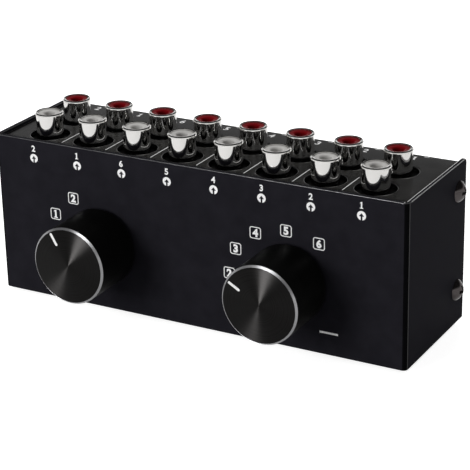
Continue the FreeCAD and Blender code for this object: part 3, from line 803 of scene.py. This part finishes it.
def build_screws():
    """The heads of the side screws: a dome, height h cos(pi r / 2 R) to the power 0.7, into which a cross
    recess is sunk where either arm's mask is 1. It's as deep as the depth times 1.3 less r over an arm's length,
    but no deeper than the depth. One flat face closes the underside."""
    sizes = settings().screws
    low, high = node_box("side_screws")
    share = np.linspace(1, 0, 45)
    dome = (high[0] - COVER_HIGH[0]) * np.cos(np.pi / 2 * share) ** 0.7
    points, faces, _ = turned(np.column_stack([sizes.radius * share, dome]), SCREW_SIDES)
    # A face is split along the diagonal from its first corner, which here is an inner one
    faces = [face[-1:] + face[:-1] for face in faces] + [list(range(SCREW_SIDES))[::-1]]
    x, y, z = points.T

    def mask(distance, limit):
        return np.clip((limit - abs(distance)) / sizes.soft, 0, 1)

    arms = np.maximum(*(mask(a, sizes.recess) * mask(b, sizes.slot) for a, b in ((x, y), (y, x))))
    depth = sizes.depth * np.clip(1.3 - np.hypot(x, y) / sizes.recess, 0, 1)
    points[:, 2] = np.maximum(z - arms * depth, 0)
    corners = rows_of(frame["nodes"]["side_screws"].data.vertices, "co")
    middle = (low + high) / 2
    upper = corners[:, 2] > middle[2]
    heads = []
    for side in (1, -1):
        for levels in (corners[~upper, 2], corners[upper, 2]):
            place = (side * COVER_HIGH[0], middle[1], (levels.min() + levels.max()) / 2)
            heads.append((facing_side(points, side) + place, faces))
    return crisp(solid_mesh("side_screw_heads", *joined(heads)), 50)


def build_feet():
    """Round rubber feet with an eased lower edge, each as wide as the solid one over its corners."""
    low, high = node_box("rubber_feet")
    corners = rows_of(frame["nodes"]["rubber_feet"].data.vertices, "co")
    one = corners[(corners[:, 0] < 0) & (corners[:, 1] < (low[1] + high[1]) / 2)]
    x, y, _ = (one.min(0) + one.max(0)) / 2
    radius = (one[:, 0].max() - one[:, 0].min()) / 2
    height = high[2] - low[2]
    outline = [(0, height), (radius, height), (radius, 0), (0, 0)]
    profile = rounded(outline, [0.0, settings().screws.foot_edge])[::-1]
    centres = np.array([(a, b, low[2]) for a in (x, -x) for b in (y, low[1] + high[1] - y)])
    return turned_copies("round_rubber_feet", profile, FOOT_SIDES, centres)


# Printing

# The number one, 1 high: a stem on a foot, with a flag at its upper left
ONE = np.array([
    (-0.26, 0), (0.26, 0), (0.26, 0.11), (0.11, 0.13), (0.11, 1), (-0.02, 1), (-0.27, 0.84), (-0.27, 0.76),
    (-0.11, 0.79), (-0.11, 0.13), (-0.26, 0.11),
])
# Numbers in their frames on the front, with the place of each middle in millimetres
FRAMED_NUMBERS = [
    ("1", 20.0, 26.8), ("2", 26.5, 32.7), ("1", 80.5, 11.5), ("2", 77.9, 18.9), ("3", 80.1, 26.7),
    ("4", 86.4, 32.5), ("5", 95.9, 34.75), ("6", 105.9, 32.7),
]
# In millimetres, the line at the front's lower right, the lines between the columns, and each column's number
# and dash behind its sockets: sizes, and places from the corner or from the column's middle
LEADER_SIZE, LEADER_PLACE = (5.6, 0.6), (108.8, 6.7)
DIVIDER_LENGTH, DIVIDER_LEVEL = 10.8, 9.2
NUMBER_SHIFT, NUMBER_LEVEL = -0.2, 35.2
DASH_SIZE, DASH_SHIFT, DASH_LEVEL = (1.6, 0.3), 2.6, 37.4
# How far the ink's underside stands off the paint
INK_GAP = 0.004 * MM


def inked(loops, thickness):
    """A slab of ink from closed outlines: its top is the filled outlines, its underside the same turned over,
    and a strip joins them along each outline. An outline inside another is left clear."""
    flat = np.concatenate(loops)
    top = np.array(tessellate_polygon([[Vector((*p, 0)) for p in loop] for loop in loops]))
    a, b, c = flat[top[:, 0]], flat[top[:, 1]], flat[top[:, 2]]
    turn = (b[:, 0] - a[:, 0]) * (c[:, 1] - a[:, 1]) - (b[:, 1] - a[:, 1]) * (c[:, 0] - a[:, 0])
    top[turn < 0] = top[turn < 0][:, ::-1]
    count = len(flat)
    faces = top.tolist() + (top[:, ::-1] + count).tolist()
    start = 0
    for k, loop in enumerate(loops):
        here = start + np.arange(len(loop))
        after = np.roll(here, -1)
        x, y = loop.T
        forward = (x * np.roll(y, -1) - np.roll(x, -1) * y).sum() > 0
        wall = np.stack([here + count, after + count, after, here], 1)
        faces += (wall if forward != (k > 0) else wall[:, ::-1]).tolist()
        start += len(loop)
    return np.concatenate([np.column_stack([flat, np.full(count, level)]) for level in (thickness, 0)]), faces


def numeral(text, height, bold):
    """A number as a slab, scaled to a height and centred. All but the number one have the font's outline."""
    ink = settings().prints.ink
    if text == "1":
        return inked([(ONE - (0, 0.5)) * height], ink)
    curve = bpy.data.curves.new("numeral", "FONT")
    set_all(curve, dict(body=text, offset=bold, extrude=0.5, resolution_u=4))
    writer = bpy.data.objects.new("numeral", curve)
    bpy.context.scene.collection.objects.link(writer)
    bpy.context.view_layer.update()
    mesh = bpy.data.meshes.new_from_object(writer.evaluated_get(bpy.context.evaluated_depsgraph_get()))
    points = rows_of(mesh.vertices, "co")
    faces = [list(face.vertices) for face in mesh.polygons]
    bpy.data.objects.remove(writer)
    bpy.data.curves.remove(curve)
    bpy.data.meshes.remove(mesh)
    low, high = points.min(0), points.max(0)
    scale = height / (high[1] - low[1])
    points = (points - (low + high) / 2) * [scale, scale, 1]
    points[:, 2] = (points[:, 2] + 0.5) * ink
    return points, faces


def ring_path(width, height, corner):
    """A rectangle with round corners about the middle, anticlockwise."""
    x, y = width / 2 - corner, height / 2 - corner
    angle = np.linspace(0, np.pi / 2, 7)
    centres = ((x, y), (-x, y), (-x, -y), (x, -y))
    arcs = [on_circle(corner, angle + k * np.pi / 2) + centre for k, centre in enumerate(centres)]
    return np.concatenate(arcs)


def dash(width, height):
    """A short printed line, from its size in millimetres."""
    return inked([ring_path(width * MM, height * MM, 0.05 * MM)], settings().prints.ink)


def arrow_icon(radius):
    """A disc with an arrow left clear in it, whose tail runs out through the lowest part of the disc."""
    tail, head, tip, shoulder = 0.2 * radius, 0.6 * radius, 0.52 * radius, -0.18 * radius
    gap = math.asin(tail / radius)
    rim = on_circle(radius, np.linspace(gap, 2 * math.pi - gap, 49) - math.pi / 2)
    arrow = np.array([(-tail, shoulder), (-head, shoulder), (0, tip), (head, shoulder), (tail, shoulder)])
    return [np.concatenate([rim, arrow])]


def printed(name, marks, place):
    """One piece from marks, each a surface and its spot on a flat of the box. place takes them to the room."""
    points, faces = joined([(points + (*spot, 0), faces) for (points, faces), spot in marks])
    return solid_mesh(name, place(points), faces, smooth=False)


def on_front(points):
    """From the front's left lower corner to the room, a hair over the paint."""
    return facing_front(points) + COVER_LOW - (0, INK_GAP, 0)


def on_plate(points):
    """From the plate's left front corner, as the case's own corner, to the room."""
    return points + (COVER_LOW[0], COVER_LOW[1], CHASSIS_HIGH[2] + INK_GAP)


def column_place(column):
    return MOUNTS[column + WHITE_END]["pos_m"][0] - COVER_LOW[0]


def build_front_print():
    """Over each column its number and a round mark, round each knob the framed position numbers, and a short
    line at the lower right."""
    sizes = settings().prints
    icon = inked(arrow_icon(sizes.icon), sizes.ink)
    marks = []
    for column in COLUMNS:
        x = column_place(column)
        marks.append((icon, (x, sizes.icon_level)))
        marks.append((numeral(column[-1], sizes.number_height, 0.03), (x, sizes.number_level)))
    outer, corner, line = sizes.box, sizes.box_corner, sizes.box_line
    inner = outer - 2 * line
    box = inked([ring_path(outer, outer, corner), ring_path(inner, inner, corner - line)], sizes.ink)
    for text, x, z in FRAMED_NUMBERS:
        marks.append((box, (x * MM, z * MM)))
        marks.append((numeral(text, sizes.position_height, 0.05), (x * MM, z * MM)))
    marks.append((dash(*LEADER_SIZE), np.array(LEADER_PLACE) * MM))
    return printed("front_printing", marks, on_front)


def build_plate_print():
    """Thin lines between the columns in front, and each column's number behind its red socket."""
    sizes = settings().prints
    places = [column_place(column) for column in COLUMNS]
    divider = inked([ring_path(sizes.line, DIVIDER_LENGTH * MM, 0.1 * MM)], sizes.ink)
    marks = [(divider, ((a + b) / 2, DIVIDER_LEVEL * MM)) for a, b in zip(places, places[1:])]
    for column, x in zip(COLUMNS, places):
        digit = numeral(column[-1], sizes.plate_height, 0.02)
        marks.append((digit, (x + NUMBER_SHIFT * MM, NUMBER_LEVEL * MM)))
        marks.append((dash(*DASH_SIZE), (x + DASH_SHIFT * MM, DASH_LEVEL * MM)))
    return printed("plate_printing", marks, on_plate)


# Stage

# How much lighter the floor is for the camera, and for gloss
CAMERA_LIFT, GLOSS_LIFT = 0.8, 0.3
# The heights of a line of sight at which the white backdrop ends and the ceiling is reached
BACKDROP_SPAN = (0.14, 0.36)
# What the lamps look at
LAMP_TARGET = Vector((0, 0, 0.03))
# Each lamp's place, width and height in metres, by the setting that holds its power
LAMPS = {
    "key": ((-0.37, -0.74, 0.27), 0.4, 0.4),
    "back": ((-0.28, 0.5, 0.69), 0.45, 0.45),
    "side": ((0.36, 0.68, 0.33), 0.24, 0.24),
    "sheen": ((-0.19, -0.7, 0.13), 0.14, 0.25),
}
# The pieces that the sheen lamp lights
DARK_PIECES = ("front_cover_sheet", "rear_chassis_sheet", "output_turned_knob", "input_turned_knob")


def build_floor():
    """A wide flat floor under the feet."""
    size = 6.0
    points = np.array([(-size, -size, 0), (size, -size, 0), (size, size, 0), (-size, size, 0)])
    return solid_mesh("pale_floor", points, [[0, 1, 2, 3]], smooth=False)


def floor_finish():
    """A pale floor, which the camera and gloss see a little lighter, so that it meets the white backdrop."""
    made, tree, shader = new_finish("pale_floor")
    base = np.array(settings().stage.floor)
    rays = add(tree, "LightPath", {}).node.outputs
    seen = maths(tree, "MULTIPLY", rays["Is Camera Ray"], CAMERA_LIFT)
    lift = maths(tree, "MULTIPLY_ADD", rays["Is Glossy Ray"], GLOSS_LIFT, seen)
    fill(shader, {
        "Roughness": 0.9,
        "Specular IOR Level": 0.0,
        "Base Color": tinted(tree, mottled(tree, 40.0, 2.0), base * 0.99, base),
        "Emission Color": (1, 1, 1, 1),
        "Emission Strength": lift,
    })
    return made


def light_room():
    """Even light from all round. The camera and the gloss see a white backdrop that gives way to a dim ceiling:
    the colour follows the height of the line of sight above the level."""
    stage = settings().stage
    world = bpy.data.worlds.new("pale_room")
    world.use_nodes = True
    bpy.context.scene.world = world
    tree = world.node_tree
    sight = add(tree, "TexCoord", {}, "Generated")
    height = add(tree, "SeparateXYZ", {"Vector": sight}, "Z")
    shown = tinted(tree, height, (1, 1, 1), stage.ceiling, BACKDROP_SPAN)
    rays = add(tree, "LightPath", {}).node.outputs
    seen = maths(tree, "MAXIMUM", rays["Is Camera Ray"], rays["Is Glossy Ray"])
    seen = maths(tree, "MAXIMUM", seen, rays["Is Transmission Ray"])
    even = tree.nodes["Background"]
    fill(even, {"Color": (1, 1, 1, 1), "Strength": stage.ambient})
    backdrop = add(tree, "Background", {"Color": shown})
    mixed = add(tree, "MixShader", {0: seen, 1: even.outputs[0], 2: backdrop})
    fill(tree.nodes["World Output"], {"Surface": mixed})


def add_lamp(name, power):
    """A soft lamp that looks at the box. Only the sheen lamp shows in gloss, and it lights nothing else."""
    place, width, height = LAMPS[name]
    data = bpy.data.lights.new(f"{name}_lamp", "AREA")
    lamp = bpy.data.objects.new(f"{name}_lamp", set_all(data, dict(
        shape="RECTANGLE", size=width, size_y=height, energy=power,
    )))
    bpy.context.scene.collection.objects.link(lamp)
    lamp.location = place
    lamp.rotation_euler = (LAMP_TARGET - Vector(place)).to_track_quat("-Z", "Y").to_euler()
    lamp.visible_camera = False
    lamp.visible_glossy = name == "sheen"
    lamp.visible_diffuse = name != "sheen"
    return lamp


def add_camera():
    """The camera's three axes: back along the line of sight, right turned by the roll, and up."""
    stage = settings().stage
    turn, rise, roll = (math.radians(v) for v in (stage.turn, stage.rise, stage.roll))
    back = Vector((math.sin(turn) * math.cos(rise), -math.cos(turn) * math.cos(rise), math.sin(rise)))
    level = Vector((math.cos(turn), math.sin(turn), 0))
    right = level * math.cos(roll) + back.cross(level) * math.sin(roll)
    data = bpy.data.cameras.new("photo_camera")
    camera = bpy.data.objects.new("photo_camera", set_all(data, dict(
        lens=stage.lens, sensor_width=36.0, clip_start=0.01,
    )))
    bpy.context.scene.collection.objects.link(camera)
    axes = Matrix((right, back.cross(right), back)).transposed()
    camera.matrix_world = Matrix.Translation(stage.place) @ axes.to_4x4()
    bpy.context.scene.camera = camera


# Operators

class SELECTORBOX_OT_cover(bpy.types.Operator):
    """Make the folded front sheet"""

    bl_idname = "selectorbox.cover"
    bl_label = "Front sheet"

    def execute(self, context):
        # The case paint with its painted highlight line, the edge paint made pale on the right, and the folds'
        # painted shade and painted highlight
        paints = case_paint(), worn_edge_paint(), finish("bend_paint"), finish("rubbed_paint")
        made = wear(build_cover(), *paints)
        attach(made, "case")
        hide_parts("front_cover")
        return {"FINISHED"}


class SELECTORBOX_OT_chassis(bpy.types.Operator):
    """Make the folded rear sheet with the plate, back and base"""

    bl_idname = "selectorbox.chassis"
    bl_label = "Rear sheet"

    def execute(self, context):
        made = wear(build_chassis(), finish("plate_paint"), finish("edge_paint"))
        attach(made, "case")
        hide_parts("rear_chassis")
        return {"FINISHED"}


class SELECTORBOX_OT_sleeves(bpy.types.Operator):
    """Make the plated sleeves of both rows"""

    bl_idname = "selectorbox.sleeves"
    bl_label = "Sleeves"

    def execute(self, context):
        plating = finish("nickel_plating")
        for hue in COLOURS:
            made = wear(build_sleeves(hue), plating)
            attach(made, "case")
            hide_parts(f"{hue}_sleeves")
        return {"FINISHED"}


class SELECTORBOX_OT_cores(bpy.types.Operator):
    """Make the moulded cores of both rows"""

    bl_idname = "selectorbox.cores"
    bl_label = "Cores"

    def execute(self, context):
        for hue in COLOURS:
            made = wear(build_cores(hue), finish(f"{hue}_moulding"))
            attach(made, "case")
            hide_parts(f"{hue}_cores")
        return {"FINISHED"}


class SELECTORBOX_OT_knobs(bpy.types.Operator):
    """Make the two turned knobs and their pointers"""

    bl_idname = "selectorbox.knobs"
    bl_label = "Knobs"

    def execute(self, context):
        side, paint = finish("knob_side"), finish("pointer_paint")
        for control in CONTROLS:
            axis = AXES[f"{control}_control"]
            face, bevel = (spun_finish(f"{control}_knob_{at}", axis, *metal) for at, metal in KNOB_METAL.items())
            knob = wear(build_knob(control), side, face, bevel)
            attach(knob, f"{control}_control")
            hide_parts(f"{control}_knob")
            pointer = wear(build_pointer(control), paint)
            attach(pointer, f"{control}_control")
            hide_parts(f"{control}_knob_pointer")
        return {"FINISHED"}


class SELECTORBOX_OT_screws(bpy.types.Operator):
    """Make the side screws' heads and the feet"""

    bl_idname = "selectorbox.screws"
    bl_label = "Screws and feet"

    def execute(self, context):
        heads = wear(build_screws(), finish("black_oxide"))
        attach(heads, "case")
        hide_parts("side_screws")
        feet = wear(build_feet(), finish("foot_rubber"))
        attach(feet, "case")
        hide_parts("rubber_feet")
        return {"FINISHED"}


class SELECTORBOX_OT_printing(bpy.types.Operator):
    """Print the numbers and marks"""

    bl_idname = "selectorbox.printing"
    bl_label = "Printing"

    def execute(self, context):
        ink = finish("printing_ink")
        for made in (build_front_print(), build_plate_print()):
            wear(made, ink)
            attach(made, "case")
        return {"FINISHED"}


# The finish of each CAD node that is shown as it is, by the end of the node's name
INSIDE = {
    "socket_board": "board_laminate",
    "board_spacers": "plated_steel",
    "socket_block": "block_moulding",
    "switch_housing": "switch_moulding",
    "switch_terminals": "terminal_tin",
    "switch_nut": "plated_steel",
    "switch_shaft": "plated_steel",
    "ribbon_lead": "ribbon_grey",
}


class SELECTORBOX_OT_inside(bpy.types.Operator):
    """Give the pieces inside the case their finishes"""

    bl_idname = "selectorbox.inside"
    bl_label = "Inside"

    def execute(self, context):
        finishes = {name: finish(name) for name in dict.fromkeys(INSIDE.values())}
        for end, name in INSIDE.items():
            for node, solid in frame["nodes"].items():
                if node.endswith(end):
                    wear(solid, finishes[name])
        return {"FINISHED"}


class SELECTORBOX_OT_stage(bpy.types.Operator):
    """Set up the floor, the lamps, the room and the camera"""

    bl_idname = "selectorbox.stage"
    bl_label = "Stage"

    def execute(self, context):
        wear(build_floor(), floor_finish())
        light_room()
        lamps = {name: add_lamp(name, getattr(settings().stage, name)) for name in LAMPS}
        dark = bpy.data.collections.new("dark_pieces")
        for name in DARK_PIECES:
            if name in bpy.data.objects:
                dark.objects.link(bpy.data.objects[name])
        lamps["sheen"].light_linking.receiver_collection = dark
        add_camera()
        context.scene.view_settings.view_transform = "Standard"
        return {"FINISHED"}


MAKERS = (
    SELECTORBOX_OT_cover,
    SELECTORBOX_OT_chassis,
    SELECTORBOX_OT_sleeves,
    SELECTORBOX_OT_cores,
    SELECTORBOX_OT_knobs,
    SELECTORBOX_OT_screws,
    SELECTORBOX_OT_printing,
    SELECTORBOX_OT_inside,
    SELECTORBOX_OT_stage,
)


class SELECTORBOX_PT_panel(bpy.types.Panel):
    """Lists the steps that dress the box"""

    bl_label = "Selector Box"
    bl_idname = "SELECTORBOX_PT_panel"
    bl_space_type = "VIEW_3D"
    bl_region_type = "UI"
    bl_category = "Selector Box"

    def draw(self, context):
        for maker in MAKERS:
            self.layout.operator(maker.bl_idname)


GROUPS = (SheetSizes, SocketSizes, KnobSizes, ScrewSizes, PrintSizes, Paints, StageSettings)
CLASSES = (*GROUPS, SelectorBoxSettings, *MAKERS, SELECTORBOX_PT_panel)


def register():
    for each in CLASSES:
        bpy.utils.register_class(each)
    bpy.types.Scene.selector_box = PointerProperty(type=SelectorBoxSettings)


def unregister():
    del bpy.types.Scene.selector_box
    for each in reversed(CLASSES):
        bpy.utils.unregister_class(each)


def main():
    register()
    for maker in MAKERS:
        group, name = maker.bl_idname.split(".")
        getattr(getattr(bpy.ops, group), name)()


if __name__ == "__main__":
    main()
